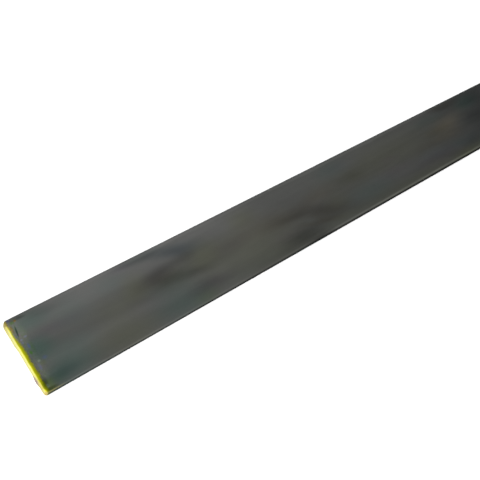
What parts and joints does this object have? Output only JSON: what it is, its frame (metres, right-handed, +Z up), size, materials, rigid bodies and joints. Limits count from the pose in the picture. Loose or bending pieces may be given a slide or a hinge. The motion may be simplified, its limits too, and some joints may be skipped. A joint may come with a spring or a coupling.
{
  "type": "steel flat bar",
  "caption": "Straight hot-rolled steel flat bar of raw stock, with rounded long corners, sheared ends and yellow paint on one end.",
  "frame": {"origin": "under the middle of the bar, on the broad face that it lies on, at half its length and half its width", "axes": "+X along the bar, away from the painted end; +Y across its width; +Z up through its thickness, out of the top broad face"},
  "size_m": [1, 0.04, 0.006],
  "materials": {
    "mill_scale": "hot-rolled mild steel under dark blue-grey mill scale, satin, with soft cloudy patches along the bar; yellow paint on the end at -X"
  },
  "bodies": {
    "root": {"flat_bar": "mill_scale"}
  },
  "joints": []
}
